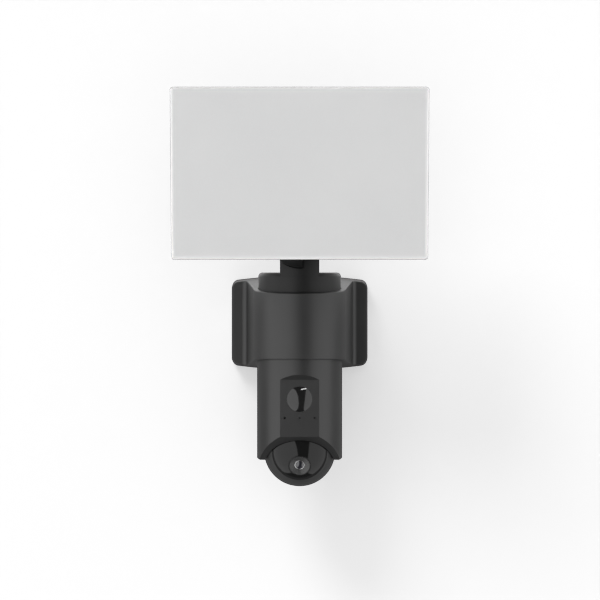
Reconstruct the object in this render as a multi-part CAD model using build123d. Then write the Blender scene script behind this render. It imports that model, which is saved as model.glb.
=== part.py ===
"""Wall-mounted floodlight security camera, in millimetres, +Z up.

The origin is the middle of the wall plate's back face, which lies on the wall plane y = 0.
The camera faces -Y. A dark yoke stands off the wall and wraps a vertical body axis. Above the
yoke a swivelling collar carries a tilting lamp head, and below it a fixed sensor body holds the
motion sensor and a camera ball that pans and tilts.
"""

from build123d import *
from math import cos, radians, sin, sqrt
import os

os.makedirs("parts", exist_ok=True)

# Clearances
RUN = 0.06  # running fit, on the radius
FIT = 0.1  # fixed pieces that slide into place
SWEEP = 0.5  # between pieces that move past each other

# Yoke on the wall
YOKE_W = 112.6
YOKE_HALF_H = 39.5  # half height at the wall, in the middle
YOKE_DRAFT = 0.135  # the top and bottom close in by this much for each mm from the wall
ARCH_R = 400.0  # the top and bottom are gently arched across
YOKE_CORNER_R = 5.6
WALL_T = 3.0
WING_D = 14.0  # the wings' front faces, from the wall
WING_FILLET_R = 4.5
EDGE_R = 0.8
SEAL_T = 2.0
SEAL_W = 4.0
SEAL_INSET = 0.8
AXIS_D = 64.0  # the body axis, from the wall
BULGE_R = 37.0
FLANK_DEG = 7.5
SHELF_T = 6.0  # the shelf inside the yoke that both cylinders meet
PARTITION_D = 26.0  # the front of the wiring space, from the wall

# Wall plate
PLATE_T = 3.0
PLATE_W = 102.0
PLATE_H = 60.0
PLATE_SCREW_SPACING = 83.3
PLATE_SCREW_R = 2.2
CABLE_R = 5.5
GROMMET_R = 9.0
CABLE_Z = -18.0
TAB_D = 8.0  # the side tabs' reach from the plate
TAB_T = 3.0
TAB_H = 14.0
SIDE_SCREW_R = 1.75
SIDE_SCREW_D = 8.5  # the side screws, from the wall

# Turret
COLLAR_R = 33.0
COLLAR_TOP = 41.9
COLLAR_WALL = 3.0
COLLAR_EDGE_R = 3.0
WASHER_T = 1.0
HUB_R = 20.0
HUB_WALL = 4.0
CLIP_T = 2.0
CLIP_W = 2.6
CLIP_GROOVE = 1.5  # how far the clip reaches into the hub
STOP_DEG = 45.0
STOP_LUG_DEG = 5.0  # half the angle of the lug that stops the swivel
STOP_R = 26.0

# Tilt knuckle
PIVOT_D = 100.0
PIVOT_Z = 71.0
EAR_X0 = 3.2
NECK_HALF_W = 15.3
EAR_R = 17.5
BALL_ARM_R = 25.0
BALL_SEAT_GAP = 1.0
KNUCKLE_GAP = 1.0  # between the ear and the arm, for the friction washer
CRADLE_H = 15.0  # the cradle behind the knuckle, above the collar's top
BOLT_R = 3.0
BOLT_HEAD_R = 5.2
BOLT_HEAD_T = 4.5
NUT_AF = 10.0
NUT_T = 4.8

# Lamp head, before it is tilted
LAMP_W = 196.0
LAMP_H = 131.0
LAMP_TILT = 6.5
LAMP_DROP = 14.5  # the lamp's lower edge, below the tilt axis
LAMP_FRONT = 41.0  # the lamp's front face, ahead of the tilt axis
TRAY_D = 12.0
TRAY_T = 2.2
TRAY_EDGE_R = 3.0
TRAY_CORNER_R = 2.0
RIM_INSET = 2.5
GASKET_T = 0.6
RIM_T = 2.4
HOUSING_INSET = 10.0
HOUSING_BACK = 19.0  # the housing's back, ahead of the tilt axis
FLOOR_T = 4.5
FIN_H = 6.0
FIN_T = 1.8
FIN_PITCH = 7.0
ARM_FLANGE_T = 2.5
ARM_FLANGE_HALF_W = 22.0
ARM_FLANGE_Z0 = -2.0
ARM_FLANGE_Z1 = 40.0
PAD_T = 1.0
BOARD_T = 1.6
LED_COLUMNS = 12
LED_ROWS = 7
LED_W = 3.0
LED_T = 0.8
REFLECTOR_T = 0.5

# Sensor body
BODY_R = 34.0
BODY_WALL = 3.0
BODY_BOTTOM = -107.3
FLAT_D = 30.3  # the flat front face, ahead of the body axis
FLAT_TOP = -42.4
FLAT_SLANT_DEG = 48.0
FLAT_WALL = 2.8
PIR_Z = -57.7
PIR_R = 10.0
PIR_RISE = 3.3
PIR_T = 0.8
PORT_Z = -72.6
PORT_X = 11.8
PORT_R = 0.9
BODY_SCREW_R = 1.5
BODY_SCREW_RING_R = 26.5

# Camera ball
BALL_Z = -101.0
BALL_R = 28.5
BALL_T = 3.5
SOCKET_GAP = 0.8
SOCKET_T = 2.6
ARCH_Z = -88.8  # the arch's height where it crosses a radius of ARCH_FORE
ARCH_FORE = 29.0
ARCH_SLOPE = 1.02
WINDOW_DEG = 50.0
WINDOW_T = 1.6
LEDGE_DEG = 2.4
LENS_DEG = 21.0  # the lens points this far down
LENS_R = 8.8
LENS_THROAT_R = 4.2
LENS_FACE = 27.6  # the bezel's front, from the ball's middle
BARREL_R = 6.6
BARREL_BACK = 9.5
GLASS_R = 3.4
IMAGE_BOARD_T = 1.2
SHAFT_R = 5.0
PRONG_X = 9.0
PRONG_T = 3.0
FORK_BAR_DROP = 13.5  # the fork's bar, in from the ball's skin
NIGHT_BOARD_DROP = 11.1
NIGHT_BOARD_T = 1.2
NIGHT_LED_R = 1.6
NIGHT_LED_DROP = 8.3
TILT_PIN_R = 2.0
TILT_DOWN = 25.0
TILT_UP = 15.0
SPLIT_Y = 6.0  # the ball's two halves meet this far behind its middle

# Memory card door at the back of the sensor body
DOOR_W = 21.0
DOOR_Z0 = -67.0
DOOR_Z1 = -43.0
DOOR_T = 2.2
POCKET_D = 31.0  # the door pocket's floor, behind the body axis
DOOR_PIN_R = 0.8
DOOR_BARREL_R = 1.3
BUTTON_R = 1.8
BUTTON_Z = -48.0
BUTTON_TRAVEL = 1.0
SLOT_Z = -55.0

# Power supply in the yoke
DRIVER_D = 20.6  # the driver board's wall side, from the wall
DRIVER_POSTS = (-32.0, 32.0)
DRIVER_POST_Z = 4.0
DRIVER_HALF_W = 36.0
DRIVER_Z0 = -4.0
DRIVER_Z1 = 29.0
TERMINAL_X0 = -37.0
TERMINAL_X1 = -13.0
TERMINAL_Z0 = -26.0
TERMINAL_H = 12.0
TERMINAL_D = 11.0

# Small parts
VENT_R = 3.0
VENT_X = LAMP_W / 2 - 26.0
VENT_Z = 3.5
SPEAKER_DEG = 140.0  # the way the speaker faces, from +X
SPEAKER_R = 9.5
SPEAKER_OUT = 26.6
SPEAKER_Z = -48.0
NIGHT_LIGHTS = ((-10.0, 9.5), (10.0, 9.5), (0.0, 10.5))

SHELF_TOP = SHELF_T / 2
SHELF_BOTTOM = -SHELF_T / 2
COLLAR_BOTTOM = SHELF_TOP + WASHER_T + FIT
HUB_BORE_R = HUB_R + RUN
CLIP_TOP = SHELF_BOTTOM - FIT
BODY_SEAL_T = 0.6
BODY_TOP = SHELF_BOTTOM - BODY_SEAL_T
HOUSING_FRONT = LAMP_FRONT - TRAY_D - GASKET_T  # the housing's rim, ahead of the tilt axis
FLOOR_FRONT = HOUSING_BACK + FLOOR_T
LAMP_MID_Z = LAMP_H / 2 - LAMP_DROP
ARM_X1 = EAR_X0 - KNUCKLE_GAP
SOCKET_R = BALL_R + SOCKET_GAP
SOCKET_OUT_R = SOCKET_R + SOCKET_T
SENSOR_BOARD_D = 22.8  # the sensor board's front, ahead of the body axis
MAIN_BOARD_Y = 3.0
MAIN_BOARD_Z0 = -58.0
MAIN_BOARD_Z1 = -14.0
SHAFT_TOP = BALL_Z + SOCKET_OUT_R + 9.0
BOSS_TOP = SHAFT_TOP - 4.0


def save(name, *shapes):
    """Writes one sub-part: its solids as one STEP file."""
    whole = Compound(children=[solid for shape in shapes for solid in shape.solids()])
    export_step(whole if len(whole.solids()) > 1 else whole.solids()[0], f"parts/{name}.step")


def block(x0, x1, y0, y1, z0, z1):
    """A box between two corners."""
    size = (abs(x1 - x0), abs(y1 - y0), abs(z1 - z0))
    return Pos((x0 + x1) / 2, (y0 + y1) / 2, (z0 + z1) / 2) * Box(*size)


def upright(r, z0, z1, x=0.0, y=-AXIS_D):
    """A cylinder along Z, on the body axis unless it is placed."""
    return Pos(x, y, (z0 + z1) / 2) * Cylinder(r, abs(z1 - z0))


def along_y(r, y0, y1, x=0.0, z=0.0):
    """A cylinder along Y."""
    return Pos(x, (y0 + y1) / 2, z) * Rot(90, 0, 0) * Cylinder(r, abs(y1 - y0))


def along_x(r, x0, x1, y=0.0, z=0.0):
    """A cylinder along X."""
    return Pos((x0 + x1) / 2, y, z) * Rot(0, 90, 0) * Cylinder(r, abs(x1 - x0))


def ahead(distance):
    """The Y of a place this far ahead of the body axis."""
    return -AXIS_D - distance


def side_profile(points, x0, x1):
    """A prism across X from (y, z) points."""
    face = Plane.YZ * make_face(Polyline(*points, close=True))
    return Pos(x0, 0, 0) * extrude(face, amount=x1 - x0)


# ---------------------------------------------------------------- yoke


def roof(half_h, reach=120.0, half_w=70.0):
    """The space between the arched top and bottom faces, which close in away from the wall."""
    rise = ARCH_R - sqrt(ARCH_R**2 - half_w**2)
    edge = half_h - rise
    arc = ThreePointArc((-half_w, edge), (0, half_h), (half_w, edge))
    lines = Polyline((half_w, edge), (half_w, 0), (-half_w, 0), (-half_w, edge))
    face = Plane.XZ * make_face(arc + lines)
    run = sqrt(1 + YOKE_DRAFT**2)
    top = extrude(face, amount=reach * run, dir=(0, -1 / run, -YOKE_DRAFT / run))
    return top + mirror(top, about=Plane.XY)


def yoke_outside():
    """The yoke's whole outer form: wings against the wall and a bulge round the body axis."""
    half = YOKE_W / 2
    a = radians(FLANK_DEG)
    tangent_x, tangent_y = BULGE_R * cos(a), -AXIS_D - BULGE_R * sin(a)
    root_x = tangent_x - (tangent_y + WING_D) * sin(a) / cos(a)
    flanks = [(-tangent_x, tangent_y), (-root_x, -WING_D), (root_x, -WING_D), (tangent_x, tangent_y)]
    wings = [(-half, -WING_D), (-half, -SEAL_T), (half, -SEAL_T), (half, -WING_D)]
    plan = make_face(Polyline(*flanks, close=True)) + make_face(Polyline(*wings, close=True))
    plan += Pos(0, -AXIS_D) * Circle(BULGE_R)
    roots = [v for v in plan.vertices() if abs(abs(v.X) - root_x) < 0.01 and abs(v.Y + WING_D) < 0.01]
    plan = fillet(roots, WING_FILLET_R)
    whole = extrude(Pos(0, 0, -60) * plan, amount=120) & roof(YOKE_HALF_H)
    corners = []
    for e in whole.edges():
        at_side = abs(abs((e @ 0.5).X) - half) < 0.01
        if at_side and abs((e @ 1 - e @ 0).Y) > (WING_D - SEAL_T) * 0.9:
            corners.append(e)
    whole = fillet(corners, YOKE_CORNER_R)
    return fillet(wing_edges(whole) + rim_edges(whole), EDGE_R)


def wing_edges(body):
    """The outer edges of the wings' flat fronts."""
    found = []
    for face in body.faces():
        if abs(face.center().Y + WING_D) < 0.01 and abs(face.normal_at().Y) > 0.99:
            for e in face.edges():
                mid = e @ 0.5
                if abs(mid.X) > YOKE_W / 2 - 2 * YOKE_CORNER_R or abs(mid.Z) > 0.7 * YOKE_HALF_H:
                    found.append(e)
    return found


def rim_edges(body):
    """The edges between the bulge and the arched top and bottom."""
    found = []
    for e in body.edges():
        mid = e @ 0.5
        level = abs((e @ 1 - e @ 0).Z) < 0.15 * YOKE_HALF_H
        if level and abs(mid.Z) > 0.5 * YOKE_HALF_H and mid.Y < -WING_D - 0.2:
            found.append(e)
    return found


def base_housing():
    body = yoke_outside()
    half = YOKE_W / 2
    inside = roof(YOKE_HALF_H - WALL_T)
    space = block(-half + WALL_T, half - WALL_T, -WING_D + WALL_T - 0.5, 0, -60, 60)
    back_half_w = BULGE_R + 2.0
    space += block(-back_half_w, back_half_w, -PARTITION_D, 0, -60, 60)
    body -= space & inside
    body -= upright(COLLAR_R + SWEEP, SHELF_TOP, 60)
    body -= upright(BODY_R + FIT, -60, SHELF_BOTTOM)
    body -= upright(HUB_BORE_R, SHELF_BOTTOM - 1, SHELF_TOP + 1)
    body -= stop_track()
    for x, y in ring_places(BODY_SCREW_RING_R):
        body -= upright(BODY_SCREW_R + FIT, SHELF_BOTTOM - 1, SHELF_TOP + 1, x, y)
        body -= upright(2 * BODY_SCREW_R, SHELF_TOP - 2.2, SHELF_TOP + 1, x, y)
    body -= block(-6, 6, -AXIS_D + HUB_R, -PARTITION_D + 1, -18, -10)
    for side in (-1, 1):
        x_in = side * (PLATE_W / 2 + FIT)
        x_wall = side * (half - WALL_T)
        body += along_x(5.0, x_in, x_wall + side, -SIDE_SCREW_D)
        body -= along_x(SIDE_SCREW_R + FIT, side * 40, side * (half + 1), -SIDE_SCREW_D)
        body -= along_x(2 * SIDE_SCREW_R + FIT, side * (half - 2.4), side * (half + 1), -SIDE_SCREW_D)
    for x in DRIVER_POSTS:
        body += along_y(3.0, -PARTITION_D - 0.5, -DRIVER_D, x, DRIVER_POST_Z)
        body -= along_y(1.0, -PARTITION_D + 0.5, -DRIVER_D, x, DRIVER_POST_Z)
    return body


def ring_places(r, angles=(55, 125, 205, 335)):
    """Places round the body axis, by angle from +X."""
    return [(r * cos(radians(a)), -AXIS_D + r * sin(radians(a))) for a in angles]


def sector(r0, r1, half_deg, z0, z1):
    """A ring sector round the body axis, centred on the front."""
    ring = upright(r1, z0, z1) - upright(r0, z0 - 1, z1 + 1)
    a = radians(half_deg)
    far = 3 * r1
    left, right = (-far * sin(a), -far * cos(a)), (far * sin(a), -far * cos(a))
    wedge = make_face(Polyline((0, 0), left, right, close=True))
    return ring & extrude(Pos(0, -AXIS_D, z0) * wedge, amount=z1 - z0)


def stop_track():
    """The arc in the shelf that the turret's stop lug runs in."""
    return sector(STOP_R - 2.5, STOP_R + 2.5, STOP_DEG + STOP_LUG_DEG + 1.0, SHELF_TOP - 2.5, SHELF_TOP + 1)


def wall_seal():
    outer = YOKE_W / 2 - SEAL_INSET
    ring = block(-outer, outer, -SEAL_T, 0, -60, 60) & roof(YOKE_HALF_H - SEAL_INSET)
    sides = [e for e in ring.edges() if abs((e @ 0.5).X) > outer - 0.01]
    corners = [e for e in sides if abs((e @ 1 - e @ 0).Y) > 0.9 * SEAL_T]
    ring = fillet(corners, YOKE_CORNER_R - SEAL_INSET)
    inner = outer - SEAL_W
    hole = block(-inner, inner, -SEAL_T - 1, 0, -60, 60) & roof(YOKE_HALF_H - SEAL_INSET - SEAL_W)
    return ring - hole


def wall_plate():
    half_w, half_h = PLATE_W / 2, PLATE_H / 2
    plate = block(-half_w, half_w, -PLATE_T, 0, -half_h, half_h)
    plate = fillet(plate.edges().filter_by(Axis.Y), 5.0)
    for side in (-1, 1):
        x_out = side * half_w
        x_in = side * (half_w - TAB_T)
        plate += block(x_in, x_out, -PLATE_T - TAB_D, -PLATE_T + 1, -TAB_H / 2, TAB_H / 2)
        plate -= along_x(SIDE_SCREW_R, side * 40, side * 60, -SIDE_SCREW_D)
        plate -= along_y(PLATE_SCREW_R, -PLATE_T - 1, 1, side * PLATE_SCREW_SPACING / 2, 0)
    plate -= along_y(GROMMET_R, -PLATE_T - 1, 1, 0, CABLE_Z)
    for x in (-24, 24):
        plate -= block(x - 8, x + 8, -PLATE_T - 1, 1, 10, 22)
    return plate


def cable_grommet():
    ring = along_y(GROMMET_R, -PLATE_T, 0, 0, CABLE_Z)
    ring += along_y(GROMMET_R + 2.0, -PLATE_T - 2.0, -PLATE_T, 0, CABLE_Z)
    return ring - along_y(CABLE_R, -PLATE_T - 3, 1, 0, CABLE_Z)


def side_screws():
    screws = []
    half = YOKE_W / 2
    for side in (-1, 1):
        tip = PLATE_W / 2 - TAB_T - 1.5
        stem = along_x(SIDE_SCREW_R - 0.01, side * tip, side * (half - 2.3), -SIDE_SCREW_D)
        head = along_x(2 * SIDE_SCREW_R, side * (half - 2.4), side * (half - 0.4), -SIDE_SCREW_D)
        slot = block(side * (half - 1.4), side * half, -SIDE_SCREW_D - 0.4, -SIDE_SCREW_D + 0.4, -2.6, 2.6)
        cross = block(side * (half - 1.4), side * half, -SIDE_SCREW_D - 2.6, -SIDE_SCREW_D + 2.6, -0.4, 0.4)
        screws.append(stem + head - slot - cross)
    return screws


# ---------------------------------------------------------------- power supply in the yoke

def driver_board():
    y0 = -DRIVER_D
    board = block(-DRIVER_HALF_W, DRIVER_HALF_W, y0, y0 + BOARD_T, DRIVER_Z0, DRIVER_Z1)
    for x in DRIVER_POSTS:
        board -= along_y(1.2, y0 - 1, y0 + BOARD_T + 1, x, DRIVER_POST_Z)
    return board


def driver_parts():
    y = -DRIVER_D + BOARD_T
    transformer = block(-10, 12, y, y + 11, 8, 26)
    transformer += block(-12, 14, y, y + 8, 12, 22)
    capacitors = [along_y(5.0, y, y + 12, x, 17) for x in (20, 31)]
    choke = along_y(5.5, y, y + 7, -20, 18) - along_y(2.0, y - 1, y + 8, -20, 18)
    bridge = block(-32, -28, y, y + 9, 10, 26)
    fuse = block(-24, -6, y, y + 4, -2, 3)
    return [transformer, *capacitors, choke, bridge, fuse]


def driver_screws():
    y = -DRIVER_D + BOARD_T
    screws = []
    for x in DRIVER_POSTS:
        stem = along_y(0.98, -PARTITION_D + 0.6, y, x, DRIVER_POST_Z)
        screws.append(stem + along_y(2.2, y, y + 1.4, x, DRIVER_POST_Z))
    return screws


def terminal_block():
    """A three-way block standing on the wall plate beside the cable entry."""
    x0, x1 = TERMINAL_X0, TERMINAL_X1
    z0, z1 = TERMINAL_Z0, TERMINAL_Z0 + TERMINAL_H
    y0, y1 = -PLATE_T - TERMINAL_D, -PLATE_T
    body = block(x0, x1, y0, y1, z0, z1)
    pitch = (x1 - x0) / 3
    for i in range(3):
        x = x0 + pitch * (i + 0.5)
        body -= along_y(2.4, y0 - 1, y0 + 4, x, z0 + 4.5)
        body -= upright(2.2, z1 - 5, z1 + 1, x, y0 + 6)
    return body


def terminal_screws():
    x0, x1, z0 = TERMINAL_X0, TERMINAL_X1, TERMINAL_Z0
    y0 = -PLATE_T - TERMINAL_D
    pitch = (x1 - x0) / 3
    screws = []
    for i in range(3):
        x = x0 + pitch * (i + 0.5)
        head = along_y(2.3, y0 + 1.2, y0 + 4, x, z0 + 4.5)
        screws.append(head - block(x - 2.5, x + 2.5, y0, y0 + 2, z0 + 4.1, z0 + 4.9))
    return screws


# ---------------------------------------------------------------- turret

P_Y = -PIVOT_D


def neck():
    """The neck above the collar: a cradle under the arm's ball on the left and an ear on the right."""
    column = upright(COLLAR_R, COLLAR_TOP - 8, PIVOT_Z + 40)
    low = COLLAR_TOP - 2.5
    cradle = block(-NECK_HALF_W, EAR_X0, ahead(COLLAR_R + 1), ahead(2), low, COLLAR_TOP + CRADLE_H)
    cradle &= column
    cradle -= Pos(0, P_Y, PIVOT_Z) * Sphere(BALL_ARM_R + BALL_SEAT_GAP)
    back_y = P_Y + EAR_R
    outline = [(ahead(COLLAR_R + 1), low), (ahead(4), low), (back_y, PIVOT_Z), (P_Y, PIVOT_Z)]
    outline.append((ahead(COLLAR_R + 1), PIVOT_Z))
    ear = side_profile(outline, EAR_X0, NECK_HALF_W) & column
    ear += along_x(EAR_R, EAR_X0, NECK_HALF_W, P_Y, PIVOT_Z)
    ear -= along_x(BOLT_R + 0.02, EAR_X0 - 1, NECK_HALF_W + 1, P_Y, PIVOT_Z)
    ear -= along_x(BOLT_HEAD_R + FIT, NECK_HALF_W - BOLT_HEAD_T - 0.5, NECK_HALF_W + 1, P_Y, PIVOT_Z)
    return cradle + ear


def swivel_collar():
    shell = upright(COLLAR_R, COLLAR_BOTTOM, COLLAR_TOP)
    shell = fillet(shell.edges().group_by(Axis.Z)[-1], COLLAR_EDGE_R)
    shell += neck()
    shell -= upright(COLLAR_R - COLLAR_WALL, COLLAR_BOTTOM + COLLAR_WALL, COLLAR_TOP - COLLAR_WALL)
    hub_end = CLIP_TOP - CLIP_T - 2.0
    shell += upright(HUB_R, hub_end, COLLAR_BOTTOM + COLLAR_WALL)
    shell -= upright(HUB_R - HUB_WALL, hub_end - 1, COLLAR_BOTTOM + COLLAR_WALL + 1)
    groove = upright(HUB_R + 1, CLIP_TOP - CLIP_T, CLIP_TOP)
    shell -= groove - upright(HUB_R - CLIP_GROOVE, CLIP_TOP - CLIP_T, CLIP_TOP)
    lug = sector(STOP_R - 2.0, STOP_R + 2.0, STOP_LUG_DEG, SHELF_TOP - 2.0, COLLAR_BOTTOM + 0.5)
    return shell + lug


def swivel_washer():
    """The bearing ring that the turret turns on, with a gap for the stop lug's travel."""
    ring = upright(COLLAR_R - 1, SHELF_TOP, SHELF_TOP + WASHER_T)
    return ring - upright(STOP_R + 3.0, SHELF_TOP - 1, SHELF_TOP + WASHER_T + 1)


def swivel_clip():
    ring = upright(HUB_R - CLIP_GROOVE + CLIP_W, CLIP_TOP - CLIP_T, CLIP_TOP)
    ring -= upright(HUB_R - CLIP_GROOVE, CLIP_TOP - CLIP_T - 1, CLIP_TOP + 1)
    return ring - block(-3, 3, -AXIS_D, -AXIS_D + 2 * HUB_R, CLIP_TOP - CLIP_T - 1, CLIP_TOP + 1)


def tilt_bolt():
    nut_x = nut_face()
    head_in = NECK_HALF_W - BOLT_HEAD_T - 0.5
    bolt = along_x(BOLT_R, nut_x - NUT_T - 0.4, head_in + 0.5, P_Y, PIVOT_Z)
    bolt += along_x(BOLT_HEAD_R, head_in, head_in + BOLT_HEAD_T, P_Y, PIVOT_Z)
    hexagon = extrude(Plane.YZ * RegularPolygon(2.9, 6), amount=3)
    return bolt - Pos(head_in + BOLT_HEAD_T - 2.5, P_Y, PIVOT_Z) * hexagon


def nut_face():
    """The X of the nut's face that bears on the arm, less its running gap."""
    return -NECK_HALF_W + NUT_T + 0.6


def tilt_nut():
    hexagon = extrude(Plane.YZ * RegularPolygon(NUT_AF / sqrt(3), 6), amount=NUT_T)
    nut = Pos(nut_face() - NUT_T, P_Y, PIVOT_Z) * hexagon
    return nut - along_x(BOLT_R + 0.01, -30, 30, P_Y, PIVOT_Z)


# ---------------------------------------------------------------- lamp head, built level at the tilt axis


def placed(shape):
    """Puts a piece of the level lamp head at the tilt axis, tilted as it rests."""
    return Pos(0, P_Y, PIVOT_Z) * Rot(LAMP_TILT, 0, 0) * shape


def plate_y(inset, y0, y1, corner_r):
    """A plate of the lamp's outline less an inset, between two depths ahead of the tilt axis."""
    size = (LAMP_W - 2 * inset, abs(y1 - y0), LAMP_H - 2 * inset)
    plate = Pos(0, -(y0 + y1) / 2, LAMP_MID_Z) * Box(*size)
    return fillet(plate.edges().filter_by(Axis.Y), corner_r)


def lamp_diffuser():
    back = LAMP_FRONT - TRAY_D
    tray = plate_y(0, back, LAMP_FRONT, TRAY_CORNER_R)
    tray = fillet(tray.faces().sort_by(Axis.Y)[0].edges(), TRAY_EDGE_R - 1.2)
    tray -= plate_y(TRAY_T, back - 1, LAMP_FRONT - TRAY_T, 1.0)
    for x, z in rim_places():
        tray += along_y(3.2, -back, -LAMP_FRONT + TRAY_T, x, z)
        tray -= along_y(1.2, -back + 1, -LAMP_FRONT + TRAY_T + 2.5, x, z)
    return placed(tray)


def rim_places():
    """The screws round the lamp's rim."""
    x, h = LAMP_W / 2 - 6.2, LAMP_H / 2 - 6.2
    return [(sx * x, LAMP_MID_Z + sz * h) for sx in (-1, 0, 1) for sz in (-1, 1)]


def lamp_gasket():
    back = LAMP_FRONT - TRAY_D
    ring = plate_y(RIM_INSET, back - GASKET_T, back, 1.5)
    ring -= plate_y(HOUSING_INSET, back - GASKET_T - 1, back + 1, 1.0)
    for x, z in rim_places():
        ring -= along_y(1.4, -back - 1, -back + 2, x, z)
    return placed(ring)


def lamp_housing():
    front = HOUSING_FRONT
    body = plate_y(RIM_INSET, front - RIM_T, front, 1.5)
    shell = plate_y(HOUSING_INSET, HOUSING_BACK, front - RIM_T + 0.5, 4.0)
    shell = chamfer(shell.faces().sort_by(Axis.Y)[-1].edges(), 2.0)
    body += shell
    body -= plate_y(HOUSING_INSET + 2.0, FLOOR_FRONT, front + 1, 3.0)
    body += lamp_fins()
    flange = block(-ARM_FLANGE_HALF_W - FIT, ARM_FLANGE_HALF_W + FIT, -HOUSING_BACK - ARM_FLANGE_T,
                   -HOUSING_BACK + 20, ARM_FLANGE_Z0 - FIT - 20, ARM_FLANGE_Z1 + FIT)
    body -= flange
    for x, z in flange_places():
        body -= along_y(1.6, -HOUSING_BACK - ARM_FLANGE_T + 1, -FLOOR_FRONT + 0.6, x, z)
    for x, z in rim_places():
        body -= along_y(1.6, -front - 1, -front + RIM_T + 1, x, z)
    body -= along_y(6.0, -FLOOR_FRONT - 1, -HOUSING_BACK + 1, -6.5, 20.0)
    body -= along_y(VENT_R, -FLOOR_FRONT - 1, -HOUSING_BACK + 1, VENT_X, VENT_Z)
    return placed(body)


def lamp_fins():
    """The cooling fins on the housing's back, clear of the knuckle and the vent."""
    z0, z1 = HOUSING_INSET - LAMP_DROP + 14, LAMP_H - LAMP_DROP - HOUSING_INSET - 5
    fins = []
    count = int((LAMP_W / 2 - HOUSING_INSET - 6) / FIN_PITCH)
    for i in range(-count, count + 1):
        x = i * FIN_PITCH
        low = z0 if abs(x) > ARM_FLANGE_HALF_W + 4 else ARM_FLANGE_Z1 + 6
        fins.append(block(x - FIN_T / 2, x + FIN_T / 2, -HOUSING_BACK - 1, -HOUSING_BACK + FIN_H, low, z1))
    return fins


def flange_places():
    x = ARM_FLANGE_HALF_W - 4.5
    return [(sx * x, z) for sx in (-1, 1) for z in (ARM_FLANGE_Z0 + 5, ARM_FLANGE_Z1 - 5)]


def lamp_arm():
    """A half ball beside the ear, on a flange let into the lamp housing's back."""
    ball = Sphere(BALL_ARM_R) & block(-NECK_HALF_W, ARM_X1, -HOUSING_BACK - 1, 40, -40, 40)
    flange = block(-ARM_FLANGE_HALF_W, ARM_FLANGE_HALF_W, -HOUSING_BACK - ARM_FLANGE_T,
                   -HOUSING_BACK, ARM_FLANGE_Z0, ARM_FLANGE_Z1)
    flange = fillet(flange.edges().filter_by(Axis.Y), 3.0)
    arm = ball + flange
    arm -= along_x(BOLT_R + RUN, -30, 30)
    arm -= along_x(NUT_AF / sqrt(3) + 1.0, -30, nut_face() + FIT)
    arm -= along_y(4.0, -HOUSING_BACK - 5, -8, -6.5, 20.0) - block(-30, 30, -8, 30, -30, 30)
    for x, z in flange_places():
        arm -= along_y(1.6, -HOUSING_BACK - ARM_FLANGE_T - 1, -HOUSING_BACK + 1, x, z)
        arm -= along_y(2.8, -HOUSING_BACK - 1.5, -HOUSING_BACK + 1, x, z)
    return placed(arm)


def arm_screws():
    screws = []
    for x, z in flange_places():
        stem = along_y(1.58, -HOUSING_BACK - ARM_FLANGE_T - 1.2, -HOUSING_BACK - 1, x, z)
        head = along_y(2.7, -HOUSING_BACK - 1.5, -HOUSING_BACK - 0.2, x, z)
        screws.append(placed(stem + head - along_y(1.0, -HOUSING_BACK - 0.9, -HOUSING_BACK, x, z)))
    return screws


def friction_washer():
    ring = along_x(12.0, ARM_X1, EAR_X0 - FIT) - along_x(BOLT_R + RUN, -1, 10)
    return placed(ring)


def lamp_screws():
    screws = []
    back = LAMP_FRONT - TRAY_D
    rim_back = HOUSING_FRONT - RIM_T
    for x, z in rim_places():
        stem = along_y(1.18, -back - 6, -rim_back + 0.5, x, z)
        head = along_y(2.6, -rim_back, -rim_back + 1.8, x, z)
        slot = block(x - 2, x + 2, -rim_back + 1, -rim_back + 2, z - 0.4, z + 0.4)
        screws.append(placed(stem + head - slot))
    return screws


def thermal_pad():
    return placed(plate_y(HOUSING_INSET + 4.0, FLOOR_FRONT, FLOOR_FRONT + PAD_T, 2.0))


def led_board():
    back = FLOOR_FRONT + PAD_T
    return placed(plate_y(HOUSING_INSET + 3.0, back, back + BOARD_T, 2.0))


def led_places():
    """The lamp's grid of light sources."""
    span_x = LAMP_W - 2 * HOUSING_INSET - 20
    span_z = LAMP_H - 2 * HOUSING_INSET - 20
    for i in range(LED_COLUMNS):
        for j in range(LED_ROWS):
            x = span_x * (i / (LED_COLUMNS - 1) - 0.5)
            yield x, LAMP_MID_Z + span_z * (j / (LED_ROWS - 1) - 0.5)


def led_chips():
    front = FLOOR_FRONT + PAD_T + BOARD_T
    h = LED_W / 2
    return [placed(block(x - h, x + h, -front - LED_T, -front, z - h, z + h)) for x, z in led_places()]


def lamp_reflector():
    """A white sheet over the board, with a hole for each light source."""
    back = FLOOR_FRONT + PAD_T + BOARD_T
    sheet = plate_y(HOUSING_INSET + 3.0, back, back + REFLECTOR_T, 2.0)
    h = LED_W / 2 + 0.4
    holes = [block(x - h, x + h, -back - 2, -back + 1, z - h, z + h) for x, z in led_places()]
    return placed(sheet - holes)


def breather_vent():
    plug = along_y(VENT_R - 0.02, -FLOOR_FRONT, -HOUSING_BACK, VENT_X, VENT_Z)
    cap = along_y(VENT_R + 2.0, -HOUSING_BACK, -HOUSING_BACK + 2.5, VENT_X, VENT_Z)
    cap = fillet(cap.edges().sort_by(Axis.Y)[-1], 0.8)
    return placed(plug + cap)


# ---------------------------------------------------------------- sensor body


def body_cavity():
    """The space for the boards, above the socket and between the front and back flats."""
    space = upright(BODY_R - BODY_WALL, BODY_BOTTOM, BODY_TOP + 1)
    space &= block(-60, 60, ahead(FLAT_D - FLAT_WALL), ahead(-POCKET_D + 3.0), BODY_BOTTOM, BODY_TOP + 1)
    return space - Pos(0, -AXIS_D, BALL_Z) * Sphere(SOCKET_OUT_R) - upright(50, BODY_BOTTOM - 1, BALL_Z + 12)


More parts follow.
